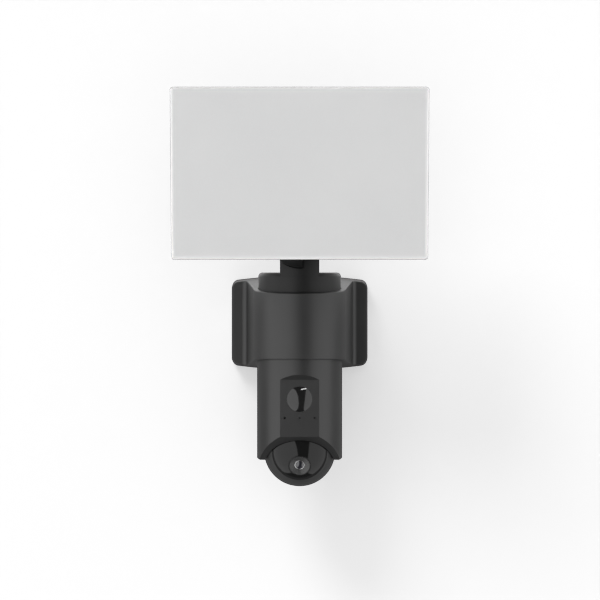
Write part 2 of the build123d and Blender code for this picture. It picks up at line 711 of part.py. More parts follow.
def sensor_body():
    body = upright(BODY_R, BODY_BOTTOM, BODY_TOP)
    body = chamfer(body.edges().group_by(Axis.Z)[0], 0.8)
    slope = sin(radians(FLAT_SLANT_DEG)) / cos(radians(FLAT_SLANT_DEG))
    reach = 10.0
    flat = [(ahead(FLAT_D), BODY_BOTTOM - 10), (ahead(FLAT_D), FLAT_TOP)]
    flat += [(ahead(FLAT_D + reach), FLAT_TOP + reach * slope), (ahead(FLAT_D + reach), BODY_BOTTOM - 10)]
    body -= side_profile(flat, -40, 40)
    body -= body_cavity()
    boss = upright(SHAFT_R + 4.0, BALL_Z, BOSS_TOP)
    body += boss
    body -= Pos(0, -AXIS_D, BALL_Z) * Sphere(SOCKET_R)
    body -= upright(SOCKET_R, BODY_BOTTOM - 1, BALL_Z)
    body -= upright(SHAFT_R + RUN, BALL_Z, SHAFT_TOP + 1)
    low = BODY_BOTTOM - 10
    fore = ARCH_FORE + (low - ARCH_Z) / ARCH_SLOPE
    far = BODY_R + 10
    arch = [(ahead(fore), low), (ahead(far), low), (ahead(far), ARCH_Z + ARCH_SLOPE * (far - ARCH_FORE))]
    body -= side_profile(arch, -50, 50)
    body -= along_y(PIR_R + FIT, ahead(50), ahead(10), 0, PIR_Z)
    for x in (-PORT_X, 0, PORT_X):
        body -= along_y(PORT_R, ahead(50), ahead(FLAT_D - FLAT_WALL - 1), x, PORT_Z)
    for x, y in ring_places(BODY_SCREW_RING_R):
        post = upright(5.0, BODY_TOP - 14, BODY_TOP, x, y)
        body += post & upright(BODY_R - 1, -60, BODY_TOP)
        body -= upright(BODY_SCREW_R, BODY_TOP - 10, BODY_TOP + 1, x, y)
    body -= block(-6, 6, -AXIS_D + 20, -AXIS_D + 40, -18, BODY_TOP + 1)
    body = body + speaker_seat() - speaker_holes()
    return door_pocket(body)


def door_pocket(body):
    """Cuts the card door's pocket, its pin holes, the card slot and the button's hole."""
    y_floor = -AXIS_D + POCKET_D
    half = DOOR_W / 2 + 0.4
    body -= block(-half, half, y_floor, y_floor + 10, DOOR_Z0 - 0.6, DOOR_Z1 + 0.4)
    body += block(-half - 3.0, -half + 2.5, y_floor - 0.5, hinge_y() + 1.6, DOOR_Z0, DOOR_Z0 + 3.6)
    body += block(half - 2.5, half + 3.0, y_floor - 0.5, hinge_y() + 1.6, DOOR_Z0, DOOR_Z0 + 3.6)
    body &= upright(BODY_R, BODY_BOTTOM - 1, BODY_TOP + 1)
    body -= along_x(DOOR_PIN_R, -pin_half(), pin_half(), hinge_y(), hinge_z())
    body -= block(-6.2, 6.2, y_floor - 5, y_floor + 1, SLOT_Z - 1.0, SLOT_Z + 1.0)
    return body - along_y(BUTTON_R + RUN, y_floor - 5, y_floor + 1, 0, BUTTON_Z)


def hinge_y():
    return -AXIS_D + POCKET_D + DOOR_BARREL_R + 0.2


def hinge_z():
    return DOOR_Z0 + DOOR_BARREL_R + 0.2


def pin_half():
    return DOOR_W / 2 + 0.4


def card_door():
    y0 = -AXIS_D + POCKET_D + 0.2
    half = DOOR_W / 2
    door = block(-half, half, y0 + 0.4, y0 + 10, hinge_z() + 2.4, DOOR_Z1)
    strap = half - 3.0
    door += block(-strap, strap, y0 + 0.4, y0 + 0.4 + DOOR_T, hinge_z(), hinge_z() + 3.0)
    door &= upright(BODY_R, BODY_BOTTOM, 0)
    door += along_x(DOOR_BARREL_R, -strap, strap, hinge_y(), hinge_z())
    door -= block(-4, 4, y0 - 1, y0 + 1.2, BUTTON_Z - 3, BUTTON_Z + 3)
    return door - along_x(DOOR_PIN_R + RUN, -half, half, hinge_y(), hinge_z())


def card_door_pin():
    return along_x(DOOR_PIN_R - 0.01, -pin_half() + 0.1, pin_half() - 0.1, hinge_y(), hinge_z())


def reset_button():
    y_floor = -AXIS_D + POCKET_D
    cap = along_y(BUTTON_R, y_floor - 4.4, y_floor + 0.5, 0, BUTTON_Z)
    flange = along_y(BUTTON_R + 1.0, y_floor - 4.4, y_floor - 3.05, 0, BUTTON_Z)
    return cap + flange


def reset_switch():
    y0 = -AXIS_D + MAIN_BOARD_Y + BOARD_T
    y1 = -AXIS_D + POCKET_D - 4.4 - BUTTON_TRAVEL - 0.3
    case = block(-2.2, 2.2, y0, y1 - 1.0, BUTTON_Z - 2.2, BUTTON_Z + 2.2)
    return case + along_y(1.2, y1 - 1.5, y1, 0, BUTTON_Z)


def card_socket():
    y0 = -AXIS_D + MAIN_BOARD_Y + BOARD_T
    y1 = -AXIS_D + POCKET_D - 3.2
    body = block(-7, 7, y0, y1, SLOT_Z - 1.6, SLOT_Z + 1.6)
    return body - block(-5.7, 5.7, y1 - 15, y1 + 1, SLOT_Z - 0.55, SLOT_Z + 0.55)


def facing(shape, out):
    """Turns a piece built along +Z to face outwards where the speaker sits."""
    a = radians(SPEAKER_DEG)
    place = Pos(out * cos(a), -AXIS_D + out * sin(a), SPEAKER_Z)
    return place * Rot(0, 0, SPEAKER_DEG) * Rot(0, 90, 0) * shape


def speaker():
    basket = Pos(0, 0, -2.0) * Cylinder(SPEAKER_R, 4.0) + Pos(0, 0, -5.0) * Cylinder(6.0, 2.5)
    return facing(basket - Pos(0, 0, 0.5) * Cylinder(SPEAKER_R - 2, 2.0), SPEAKER_OUT)


def speaker_mesh():
    return facing(Pos(0, 0, 0.35) * Cylinder(SPEAKER_R - 0.3, 0.5), SPEAKER_OUT)


def speaker_seat():
    tube = Pos(0, 0, 3.0) * Cylinder(SPEAKER_R, 4.4) - Pos(0, 0, 3.0) * Cylinder(SPEAKER_R - 2.0, 6.0)
    return facing(tube, SPEAKER_OUT) & upright(BODY_R - 1, -80, -10)


def speaker_holes():
    holes = [Cylinder(0.9, 8.0)]
    for i in range(6):
        holes.append(Rot(0, 0, 60 * i) * Pos(4.2, 0, 0) * Cylinder(0.9, 8.0))
    return [facing(Pos(0, 0, 5.8) * hole, SPEAKER_OUT) for hole in holes]


def body_seal():
    ring = upright(BODY_R - 0.4, BODY_TOP, SHELF_BOTTOM) - upright(BODY_R - BODY_WALL + 0.2, BODY_TOP - 1, 0)
    return ring - block(-7, 7, -AXIS_D + 20, -AXIS_D + 40, -10, 0)


def body_screws():
    screws = []
    for x, y in ring_places(BODY_SCREW_RING_R):
        stem = upright(BODY_SCREW_R - 0.01, BODY_TOP - 9, SHELF_TOP - 2.0, x, y)
        head = upright(2 * BODY_SCREW_R - 0.2, SHELF_TOP - 2.2, SHELF_TOP - 0.3, x, y)
        screws.append(stem + head - upright(1.1, SHELF_TOP - 1.3, SHELF_TOP, x, y))
    return screws


def pir_lens():
    """A domed lens with a skirt through the front wall and a flange behind it."""
    r_dome = (PIR_R**2 + PIR_RISE**2) / (2 * PIR_RISE)
    wall_in = ahead(FLAT_D - FLAT_WALL)
    centre = Pos(0, ahead(FLAT_D + PIR_RISE - r_dome), PIR_Z)
    keep = along_y(PIR_R, ahead(FLAT_D), ahead(FLAT_D + 10), 0, PIR_Z)
    dome = (centre * Sphere(r_dome)) & keep
    skirt = along_y(PIR_R, ahead(FLAT_D), wall_in, 0, PIR_Z)
    flange = along_y(PIR_R + 1.5, wall_in, wall_in + 1.0, 0, PIR_Z)
    bore = along_y(PIR_R - PIR_T, ahead(FLAT_D), wall_in + 2, 0, PIR_Z)
    throat = along_y(PIR_R - PIR_T, ahead(FLAT_D), ahead(FLAT_D + 9), 0, PIR_Z)
    hollow = (centre * Sphere(r_dome - PIR_T)) & throat
    return dome + skirt + flange - bore - hollow


def sensor_board():
    y0 = ahead(SENSOR_BOARD_D)
    return block(-18, 18, y0, y0 + BOARD_T, PORT_Z - 2.4, PIR_Z + 13)


def pir_sensor():
    y0 = ahead(SENSOR_BOARD_D)
    can = along_y(4.6, y0 - 3.6, y0, 0, PIR_Z) + along_y(5.0, y0 - 0.6, y0, 0, PIR_Z)
    return can - block(-2, 2, y0 - 4, y0 - 3.2, PIR_Z - 1.5, PIR_Z + 1.5)


def port_piece(x, r, front_gap, tip_r):
    """A pipe or seal that stands on the sensor board behind one small hole."""
    y0 = ahead(SENSOR_BOARD_D)
    inner = ahead(FLAT_D - FLAT_WALL)
    piece = along_y(r, y0, inner + 0.1, x, PORT_Z)
    return piece + along_y(tip_r, y0, ahead(FLAT_D - front_gap), x, PORT_Z)


def mic_seal():
    tube = port_piece(-PORT_X, 2.0, FLAT_WALL, 1.5)
    return tube - along_y(0.6, ahead(FLAT_D), ahead(SENSOR_BOARD_D - 0.5), -PORT_X, PORT_Z)


def status_light_pipe():
    return port_piece(0, 1.6, 0.3, PORT_R - 0.05)


def light_sensor_pipe():
    return port_piece(PORT_X, 1.6, 0.3, PORT_R - 0.05)


def main_board():
    y0 = -AXIS_D + MAIN_BOARD_Y
    board = block(-26, 26, y0, y0 + BOARD_T, MAIN_BOARD_Z0, MAIN_BOARD_Z1)
    for x in (-22, 22):
        board -= along_y(1.3, y0 - 1, y0 + 3, x, MAIN_BOARD_Z1 - 4)
    return board


def board_shields():
    y1 = -AXIS_D + MAIN_BOARD_Y
    return [block(-22, -4, y1 - 2.6, y1, -50, -32), block(2, 20, y1 - 2.2, y1, -44, -24)]


# ---------------------------------------------------------------- camera ball


def at_ball(shape):
    return Pos(0, -AXIS_D, BALL_Z) * shape


def pan_fork():
    """A shaft in the socket's boss, with a fork that holds the ball's tilt pins."""
    cross_z = BALL_R - FORK_BAR_DROP
    half_y = 4.5
    out = PRONG_X + PRONG_T
    shaft = Pos(0, 0, (SHAFT_TOP - BALL_Z + cross_z) / 2) * Cylinder(SHAFT_R, SHAFT_TOP - BALL_Z - cross_z)
    bar = block(-out, out, -half_y, half_y, cross_z - 2, cross_z + 2)
    fork = shaft + bar
    for side in (-1, 1):
        fork += block(side * PRONG_X, side * out, -half_y, half_y, 0, cross_z)
        fork += along_x(half_y, side * PRONG_X, side * out)
        fork -= along_x(TILT_PIN_R, side * (PRONG_X - 1), side * (out + 1))
    fork -= Pos(0, 0, (SHAFT_TOP - BALL_Z + cross_z) / 2) * Cylinder(2.5, SHAFT_TOP - BALL_Z)
    groove_z = BOSS_TOP - BALL_Z + FIT
    ring = Pos(0, 0, groove_z + 0.6) * (Cylinder(SHAFT_R + 1, 1.2) - Cylinder(SHAFT_R - 0.8, 1.2))
    return at_ball(fork - ring)


def pan_clip():
    groove_z = BOSS_TOP - BALL_Z + FIT
    ring = Pos(0, 0, groove_z + 0.6) * (Cylinder(SHAFT_R + 2.2, 1.2) - Cylinder(SHAFT_R - 0.8, 2))
    return at_ball(ring - block(-1.5, 1.5, 0, 10, groove_z - 1, groove_z + 3))


def tilt_pins():
    x0, x1 = PRONG_X, BALL_R - BALL_T - 3.0
    return [at_ball(along_x(TILT_PIN_R - 0.01, side * x0, side * x1)) for side in (-1, 1)]


def cone_space(half_deg):
    """The space within an angle of straight ahead, from the ball's middle."""
    reach = 60.0
    tall = Cone(0.001, reach * sin(radians(half_deg)) / cos(radians(half_deg)), reach)
    return Rot(90, 0, 0) * Pos(0, 0, reach / 2) * tall


def shaft_sweep():
    """The space that the shaft takes in the ball's shell as the ball tilts."""
    r = SHAFT_R + 0.7
    reach = BALL_R + 2
    margin = 2.0
    back, fore = radians(TILT_DOWN + margin), radians(TILT_UP + margin)
    far = reach * 1.2
    fan = [(0, 0), (far * sin(back), far * cos(back)), (-far * sin(fore), far * cos(fore))]
    space = side_profile(fan, -r, r)
    for deg in (-(TILT_DOWN + margin), TILT_UP + margin):
        space += Rot(deg, 0, 0) * Pos(0, 0, reach / 2 + 5) * Cylinder(r, reach)
    return space


def screw_places():
    return [(-14.0, -14.0), (14.0, -14.0)]


def ball_shell():
    shell = Sphere(BALL_R) - Sphere(BALL_R - BALL_T)
    for side in (-1, 1):
        boss_in = PRONG_X + PRONG_T + 0.4
        shell += along_x(4.5, side * boss_in, side * (BALL_R - BALL_T + 0.5))
        shell -= along_x(TILT_PIN_R + RUN, side * (boss_in - 1), side * (BALL_R - BALL_T - 2.5))
    for x, z in screw_places():
        shell += along_y(3.2, -17, 20, x, z) & Sphere(BALL_R - 1)
    return shell - shaft_sweep()


def ball_front():
    shell = ball_shell() & block(-40, 40, -40, SPLIT_Y, -40, 40)
    shell -= cone_space(WINDOW_DEG) - Sphere(BALL_R - WINDOW_T - 0.3)
    shell -= cone_space(WINDOW_DEG - LEDGE_DEG)
    for x, z in screw_places():
        shell -= along_y(0.9, -2, SPLIT_Y + 1, x, z)
    return at_ball(shell)


def ball_rear():
    shell = ball_shell() & block(-40, 40, SPLIT_Y + 0.15, 40, -40, 40)
    for x, z in screw_places():
        shell -= along_y(1.1, SPLIT_Y - 1, 30, x, z)
        shell -= along_y(2.1, 14, 40, x, z)
    return at_ball(shell)


def ball_screws():
    screws = []
    for x, z in screw_places():
        stem = along_y(0.88, -1, 14.5, x, z)
        head = along_y(1.9, 14, 16, x, z) - block(x - 1.4, x + 1.4, 15.2, 16.5, z - 0.35, z + 0.35)
        screws.append(at_ball(stem + head))
    return screws


def along_lens(shape):
    """Turns a piece built along +Z to look along the lens."""
    return at_ball(Rot(90 + LENS_DEG, 0, 0) * shape)


def lens_tube(r, near, far):
    return Pos(0, 0, (near + far) / 2) * Cylinder(r, far - near)


def camera_window():
    """The dark window: a cap of the ball with a hole for the lens."""
    cap = (Sphere(BALL_R) - Sphere(BALL_R - WINDOW_T)) & cone_space(WINDOW_DEG - 0.3)
    return at_ball(cap) - along_lens(lens_tube(LENS_R + 0.1, 10, 40))


def lens_bezel():
    ring = lens_tube(LENS_R, 21.0, LENS_FACE) - lens_tube(BARREL_R + FIT, 20, 25.0)
    funnel = Pos(0, 0, LENS_FACE - 1.2) * Cone(LENS_THROAT_R, LENS_R - 0.9, 2.42)
    return along_lens(ring - lens_tube(LENS_THROAT_R, 24, LENS_FACE - 2.3) - funnel)


def lens_barrel():
    barrel = lens_tube(BARREL_R, BARREL_BACK, 24.9) - lens_tube(GLASS_R, BARREL_BACK + 4, 26)
    return along_lens(barrel)


def lens_glass():
    """The front element, a shallow dome held in the barrel's mouth."""
    dome = Pos(0, 0, 18.0) * Sphere(8.0) & lens_tube(GLASS_R - 0.02, 22.2, 27)
    return along_lens(dome + lens_tube(GLASS_R - 0.02, 21.0, 22.4))


def image_board():
    back = BARREL_BACK - IMAGE_BOARD_T
    return along_lens(Pos(0, 0, back + IMAGE_BOARD_T / 2) * Box(17, 17, IMAGE_BOARD_T))


def night_board():
    """The board above the lens that carries the night lights."""
    front = NIGHT_BOARD_DROP - BALL_R
    board = block(-12.0, 12.0, front, front + NIGHT_BOARD_T, 5.5, 13.0)
    return at_ball(board & Sphere(BALL_R - BALL_T - 0.5))


def night_leds():
    back = NIGHT_BOARD_DROP - BALL_R
    lights = []
    for x, z in NIGHT_LIGHTS:
        led = along_y(NIGHT_LED_R, NIGHT_LED_DROP - BALL_R, back, x, z)
        lights.append(at_ball(led & Sphere(BALL_R - BALL_T - 0.5)))
    return lights


def build():
    save("wall_plate", wall_plate())
    save("wall_seal", wall_seal())
    save("cable_grommet", cable_grommet())
    save("base_housing", base_housing())
    save("base_screws", *side_screws())
    save("terminal_block", terminal_block())
    save("terminal_screws", *terminal_screws())
    save("driver_board", driver_board())
    save("driver_parts", *driver_parts())
    save("driver_screws", *driver_screws())
    save("swivel_washer", swivel_washer())
    save("swivel_collar", swivel_collar())
    save("swivel_clip", swivel_clip())
    save("tilt_bolt", tilt_bolt())
    save("tilt_nut", tilt_nut())
    save("friction_washer", friction_washer())
    save("lamp_arm", lamp_arm())
    save("arm_screws", *arm_screws())
    save("lamp_housing", lamp_housing())
    save("lamp_gasket", lamp_gasket())
    save("thermal_pad", thermal_pad())
    save("led_board", led_board())
    save("led_chips", *led_chips())
    save("lamp_reflector", lamp_reflector())
    save("lamp_diffuser", lamp_diffuser())
    save("lamp_screws", *lamp_screws())
    save("breather_vent", breather_vent())
    save("sensor_body", sensor_body())
    save("body_seal", body_seal())
    save("body_screws", *body_screws())
    save("pir_lens", pir_lens())
    save("pir_sensor", pir_sensor())
    save("sensor_board", sensor_board())
    save("mic_seal", mic_seal())
    save("status_light_pipe", status_light_pipe())
    save("light_sensor_pipe", light_sensor_pipe())
    save("main_board", main_board())
    save("board_shields", *board_shields())
    save("speaker", speaker())
    save("speaker_mesh", speaker_mesh())
    save("card_socket", card_socket())
    save("reset_switch", reset_switch())
    save("reset_button", reset_button())
    save("card_door", card_door())
    save("card_door_pin", card_door_pin())
    save("pan_fork", pan_fork())
    save("pan_clip", pan_clip())
    save("tilt_pins", *tilt_pins())
    save("ball_front", ball_front())
    save("ball_rear", ball_rear())
    save("ball_screws", *ball_screws())
    save("camera_window", camera_window())
    save("lens_bezel", lens_bezel())
    save("lens_barrel", lens_barrel())
    save("lens_glass", lens_glass())
    save("image_board", image_board())
    save("night_board", night_board())
    save("night_leds", *night_leds())


build()
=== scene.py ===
"""Looks for the wall-mounted floodlight camera: materials, fine pieces, lights and camera."""

import math

import bmesh
import bpy
from mathutils import Matrix, Vector

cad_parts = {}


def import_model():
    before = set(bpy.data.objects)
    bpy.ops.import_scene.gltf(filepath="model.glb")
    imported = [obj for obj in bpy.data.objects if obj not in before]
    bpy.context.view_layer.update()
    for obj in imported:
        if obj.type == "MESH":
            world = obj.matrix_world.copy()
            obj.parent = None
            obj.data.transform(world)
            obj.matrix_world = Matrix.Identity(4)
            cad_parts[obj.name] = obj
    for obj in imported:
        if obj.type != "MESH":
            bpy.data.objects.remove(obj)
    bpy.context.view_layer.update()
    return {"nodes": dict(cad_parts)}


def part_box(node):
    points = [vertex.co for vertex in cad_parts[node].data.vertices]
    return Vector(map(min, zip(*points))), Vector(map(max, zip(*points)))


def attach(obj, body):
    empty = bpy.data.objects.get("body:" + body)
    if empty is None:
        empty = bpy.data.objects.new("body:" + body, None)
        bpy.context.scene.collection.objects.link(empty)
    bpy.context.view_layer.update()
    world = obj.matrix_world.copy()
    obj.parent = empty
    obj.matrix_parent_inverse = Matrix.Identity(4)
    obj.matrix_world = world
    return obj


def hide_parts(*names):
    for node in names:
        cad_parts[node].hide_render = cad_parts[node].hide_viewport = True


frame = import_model()

AXIS = Vector((0.0, -0.064, 0.0))  # the body axis
BALL = Vector((0.0, -0.064, -0.101))  # the middle of the camera ball
MM = 0.001

# The viewer's eye and the camera
EYE_SIDE = 0.0003
EYE_HEIGHT = 0.0426
EYE_DISTANCE = 1.513
LENS_MM = 108.0
SENSOR_MM = 36.0
FRAME_SHIFT = -0.0468  # brings the object back to the middle of the frame

# The lens surround on the camera ball, in millimetres from the ball's middle
LENS_DOWN_DEG = 21.0
LENS_FACE = 27.55
LENS_BACK = 21.2
BAFFLE_FLOOR = 25.5
BAFFLE_STEPS = 5

# The stage
WALL_Y = 0.0005  # the wall that catches the shadow
BOUNCE_Y = 0.001  # the wall that lights the object
FLOOR_Z = -1.3


# ---------------------------------------------------------------- node helpers


class Shader:
    """One procedural material, built around a Principled shader."""

    def __init__(self, name, **constants):
        self.material = bpy.data.materials.new(name)
        self.material.use_nodes = True
        self.tree = self.material.node_tree
        self.tree.nodes.clear()
        self.surface = self.add("ShaderNodeBsdfPrincipled")
        output = self.add("ShaderNodeOutputMaterial")
        self.link(self.surface.outputs["BSDF"], output.inputs["Surface"])
        for socket, value in constants.items():
            self.surface.inputs[socket.replace("_", " ")].default_value = value
        self.place = self.add("ShaderNodeTexCoord").outputs["Object"]

    def add(self, kind, **settings):
        node = self.tree.nodes.new(kind)
        for key, value in settings.items():
            setattr(node, key, value)
        return node

    def link(self, source, target):
        self.tree.links.new(source, target)

    def feed(self, node, socket, value):
        """Sets a socket to a constant, or links it to another node's output."""
        if hasattr(value, "links"):
            self.link(value, node.inputs[socket])
        else:
            node.inputs[socket].default_value = value

    def noise(self, scale, detail=2.0, rough=0.5, stretch=(1, 1, 1), distortion=0.0):
        spread = self.add("ShaderNodeMapping")
        spread.inputs["Scale"].default_value = stretch
        self.link(self.place, spread.inputs["Vector"])
        node = self.add("ShaderNodeTexNoise")
        node.inputs["Scale"].default_value = scale
        node.inputs["Detail"].default_value = detail
        node.inputs["Roughness"].default_value = rough
        node.inputs["Distortion"].default_value = distortion
        self.link(spread.outputs["Vector"], node.inputs["Vector"])
        return node.outputs["Fac"]

    def cells(self, scale, feature="F1"):
        node = self.add("ShaderNodeTexVoronoi", feature=feature)
        node.inputs["Scale"].default_value = scale
        self.link(self.place, node.inputs["Vector"])
        return node.outputs["Distance"]

    def math(self, operation, a, b=0.0, clamp=False):
        node = self.add("ShaderNodeMath", operation=operation, use_clamp=clamp)
        self.feed(node, 0, a)
        self.feed(node, 1, b)
        return node.outputs[0]

    def span(self, value, low, high, to_low, to_high):
        """Maps a range of one value to another, clamped at both ends."""
        node = self.add("ShaderNodeMapRange")
        for socket, v in zip((0, 1, 2, 3, 4), (value, low, high, to_low, to_high)):
            self.feed(node, socket, v)
        return node.outputs[0]

    def mix(self, factor, a, b):
        node = self.add("ShaderNodeMix", data_type="RGBA")
        self.feed(node, 0, factor)
        self.feed(node, 6, a)
        self.feed(node, 7, b)
        return node.outputs[2]

    def axis(self, letter):
        node = self.add("ShaderNodeSeparateXYZ")
        self.link(self.place, node.inputs[0])
        return node.outputs[letter]

    def edges(self, radius):
        """Close to 1 on sharp edges, from the angle between the bevelled and the true normal."""
        bevel = self.add("ShaderNodeBevel", samples=4)
        bevel.inputs["Radius"].default_value = radius
        true = self.add("ShaderNodeNewGeometry")
        dot = self.add("ShaderNodeVectorMath", operation="DOT_PRODUCT")
        self.link(bevel.outputs["Normal"], dot.inputs[0])
        self.link(true.outputs["Normal"], dot.inputs[1])
        return self.span(dot.outputs["Value"], 0.99, 0.8, 0.0, 1.0)

    def bump(self, height, strength, distance):
        node = self.add("ShaderNodeBump")
        node.inputs["Strength"].default_value = strength
        node.inputs["Distance"].default_value = distance
        self.link(height, node.inputs["Height"])
        self.link(node.outputs["Normal"], self.surface.inputs["Normal"])

    def colour(self, value):
        self.feed(self.surface, "Base Color", value)

    def rough(self, value):
        self.feed(self.surface, "Roughness", value)


def grey(value, warm=0.0):
    return (value * (1 + warm), value, value * (1 - warm), 1.0)


# ---------------------------------------------------------------- materials


def moulded_plastic(name, tone, roughness, specular=0.5, grain=0.00006, edge_wear_and_highlight_gain=1.5):
    """Dark plastic with the fine spark-eroded grain of a moulding tool, and lighter edges: partly rubbed
    wear, partly a painted highlight along the edges.
    """
    s = Shader(name)
    s.surface.inputs["Specular IOR Level"].default_value = specular
    fine = s.noise(2600.0, 3.0, 0.6)
    pits = s.cells(1700.0)
    cloud = s.noise(28.0, 4.0, 0.55)
    # Edge mask from the bevel normal: lighter edges, partly rubbed wear, partly a painted highlight where
    # rounded edges catch the light.
    edge_wear_and_highlight = s.math("MULTIPLY", s.edges(0.0006), s.span(s.noise(190.0, 3.0), 0.4, 0.62, 0.15, 1.0))
    base = s.mix(s.span(cloud, 0.3, 0.7, 0.0, 1.0), grey(tone * 0.93), grey(tone * 1.08))
    speck = s.mix(s.span(fine, 0.35, 0.7, 0.0, 0.35), base, grey(tone * 1.5))
    # Mixes in the lighter edge colour: painted highlight along the edges, partly wear.
    s.colour(s.mix(s.math("MULTIPLY", edge_wear_and_highlight, 0.5), speck, grey(tone * edge_wear_and_highlight_gain * 2)))
    level = s.math("ADD", s.span(cloud, 0.3, 0.7, -0.04, 0.04), s.span(fine, 0.3, 0.7, -0.05, 0.05))
    s.rough(s.math("ADD", s.math("ADD", level, roughness), s.math("MULTIPLY", edge_wear_and_highlight, -0.08)))
    s.bump(s.math("ADD", fine, s.math("MULTIPLY", pits, 0.7)), 0.35, grain)
    return s.material


def opal_sheet():
    """Milky lamp cover: even in the middle, lighter where the rim carries light, finely frosted."""
    s = Shader("opal_cover")
    lo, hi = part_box("lamp_diffuser")
    half_x, mid_z, half_z = (hi.x - lo.x) / 2, (hi.z + lo.z) / 2, (hi.z - lo.z) / 2
    side = s.math("ABSOLUTE", s.axis("X"))
    up = s.math("ABSOLUTE", s.math("SUBTRACT", s.axis("Z"), mid_z))
    near_side = s.span(side, half_x - 0.0035, half_x - 0.0004, 0.0, 1.0)
    near_end = s.span(up, half_z - 0.0035, half_z - 0.0004, 0.0, 1.0)
    rim = s.math("MAXIMUM", near_side, near_end)
    rim = s.math("POWER", rim, 1.6)
    cloud = s.noise(16.0, 4.0, 0.6)
    frost = s.noise(1500.0, 4.0, 0.65)
    flat = s.mix(s.span(cloud, 0.3, 0.7, 0.0, 1.0), (0.522, 0.524, 0.526, 1), (0.545, 0.546, 0.546, 1))
    mottled = s.mix(s.span(frost, 0.35, 0.65, 0.0, 0.5), flat, (0.575, 0.575, 0.575, 1))
    s.colour(s.mix(rim, mottled, (0.74, 0.74, 0.74, 1)))
    s.rough(s.span(frost, 0.3, 0.7, 0.42, 0.58))
    s.surface.inputs["Subsurface Weight"].default_value = 0.25
    s.surface.inputs["Subsurface Radius"].default_value = (0.004, 0.004, 0.004)
    s.surface.inputs["Specular IOR Level"].default_value = 0.3
    s.bump(frost, 0.25, 0.00004)
    return s.material


def gloss_black(name, tone, roughness=0.05, coat=0.6, specular=0.5):
    """Polished dark plastic with faint flow lines and fine dust."""
    s = Shader(name)
    flow = s.noise(90.0, 3.0, 0.5, (1, 1, 3), 0.6)
    dust = s.span(s.noise(2200.0, 2.0, 0.8), 0.66, 0.74, 0.0, 0.25)
    s.colour(s.mix(dust, s.mix(flow, grey(tone * 0.8), grey(tone * 1.2)), grey(0.05)))
    level = s.span(flow, 0.3, 0.7, roughness * 0.6, roughness * 1.4)
    s.rough(s.math("ADD", level, s.math("MULTIPLY", dust, 0.4)))
    s.surface.inputs["Specular IOR Level"].default_value = specular
    s.surface.inputs["Coat Weight"].default_value = coat
    s.surface.inputs["Coat Roughness"].default_value = 0.03
    s.bump(flow, 0.04, 0.00004)
    return s.material


def brushed_metal(name, tone, roughness=0.32, tint=0.0):
    """Bare metal with fine streaks and faint stains."""
    s = Shader(name, Metallic=1.0)
    streak = s.noise(700.0, 3.0, 0.6, (1, 1, 12))
    stain = s.noise(60.0, 4.0, 0.6)
    s.colour(s.mix(streak, grey(tone * 0.8, tint), grey(min(1.0, tone * 1.15), tint)))
    across = s.span(streak, 0.3, 0.7, -0.07, 0.07)
    patches = s.span(stain, 0.3, 0.7, roughness - 0.06, roughness + 0.08)
    s.rough(s.math("ADD", across, patches))
    s.bump(streak, 0.15, 0.00003)
    return s.material


def galvanised():
    """Zinc-coated sheet with spangles."""
    s = Shader("zinc_sheet", Metallic=1.0)
    spangle = s.cells(260.0)
    fine = s.noise(900.0, 3.0)
    s.colour(s.mix(s.span(spangle, 0.1, 0.8, 0.0, 1.0), grey(0.44), grey(0.52, -0.01)))
    s.rough(s.math("ADD", s.span(spangle, 0.1, 0.8, 0.34, 0.5), s.span(fine, 0.3, 0.7, -0.05, 0.05)))
    s.bump(fine, 0.12, 0.00003)
    return s.material


def powder_coat(name, tone):
    """Cast aluminium under powder coat, with its orange peel and lighter thin edges: partly a thinner coat,
    partly a painted highlight along the edges.
    """
    s = Shader(name)
    peel = s.noise(520.0, 2.0, 0.4)
    grain = s.noise(2400.0, 2.0)
    # Lighter edges: partly a thinner coat, partly a painted highlight along the rounded edges.
    edge_wear_and_highlight = s.math("MULTIPLY", s.edges(0.0005), s.span(s.noise(150.0, 3.0), 0.45, 0.65, 0.1, 0.9))
    coat = s.mix(grain, grey(tone * 0.85), grey(tone * 1.25))
    s.colour(s.mix(s.math("MULTIPLY", edge_wear_and_highlight, 0.5), coat, grey(tone * 4)))
    s.rough(s.span(peel, 0.3, 0.7, 0.42, 0.58))
    s.bump(s.math("ADD", peel, s.math("MULTIPLY", grain, 0.25)), 0.35, 0.00012)
    return s.material


def rubber(name, tone):
    """Matte rubber with a light chalky bloom."""
    s = Shader(name)
    grain = s.noise(1800.0, 3.0, 0.7)
    chalk = s.noise(70.0, 4.0, 0.6)
    s.colour(s.mix(s.span(chalk, 0.45, 0.7, 0.0, 0.5), grey(tone), grey(tone * 1.8)))
    s.rough(s.span(chalk, 0.3, 0.7, 0.72, 0.88))
    s.bump(grain, 0.3, 0.00006)
    return s.material


def pale_plastic(name, colour, roughness=0.4):
    """Light moulded plastic with faint cloudiness."""
    s = Shader(name)
    cloud = s.noise(60.0, 3.0)
    fine = s.noise(1600.0, 2.0)
    darker = tuple(c * 0.9 for c in colour[:3]) + (1.0,)
    s.colour(s.mix(cloud, darker, colour))
    s.rough(s.span(fine, 0.3, 0.7, roughness - 0.06, roughness + 0.06))
    s.bump(fine, 0.15, 0.00004)
    return s.material


def circuit_board():
    """Green solder mask over faint copper tracks."""
    s = Shader("solder_mask")
    wave = s.add("ShaderNodeTexBrick")
    wave.inputs["Scale"].default_value = 210.0
    wave.inputs["Mortar Size"].default_value = 0.06
    s.link(s.place, wave.inputs["Vector"])
    fine = s.noise(1300.0, 2.0)
    s.colour(s.mix(wave.outputs["Fac"], (0.006, 0.055, 0.025, 1), (0.02, 0.11, 0.05, 1)))
    s.rough(s.span(fine, 0.3, 0.7, 0.25, 0.4))
    s.bump(wave.outputs["Fac"], 0.3, 0.00005)
    return s.material


def led_phosphor():
    """The yellow, grainy face of a white LED."""
    s = Shader("phosphor")
    grain = s.noise(3000.0, 2.0)
    s.colour(s.mix(grain, (0.75, 0.55, 0.12, 1), (0.9, 0.74, 0.3, 1)))
    s.rough(s.span(grain, 0.3, 0.7, 0.35, 0.5))
    s.bump(grain, 0.2, 0.00003)
    return s.material


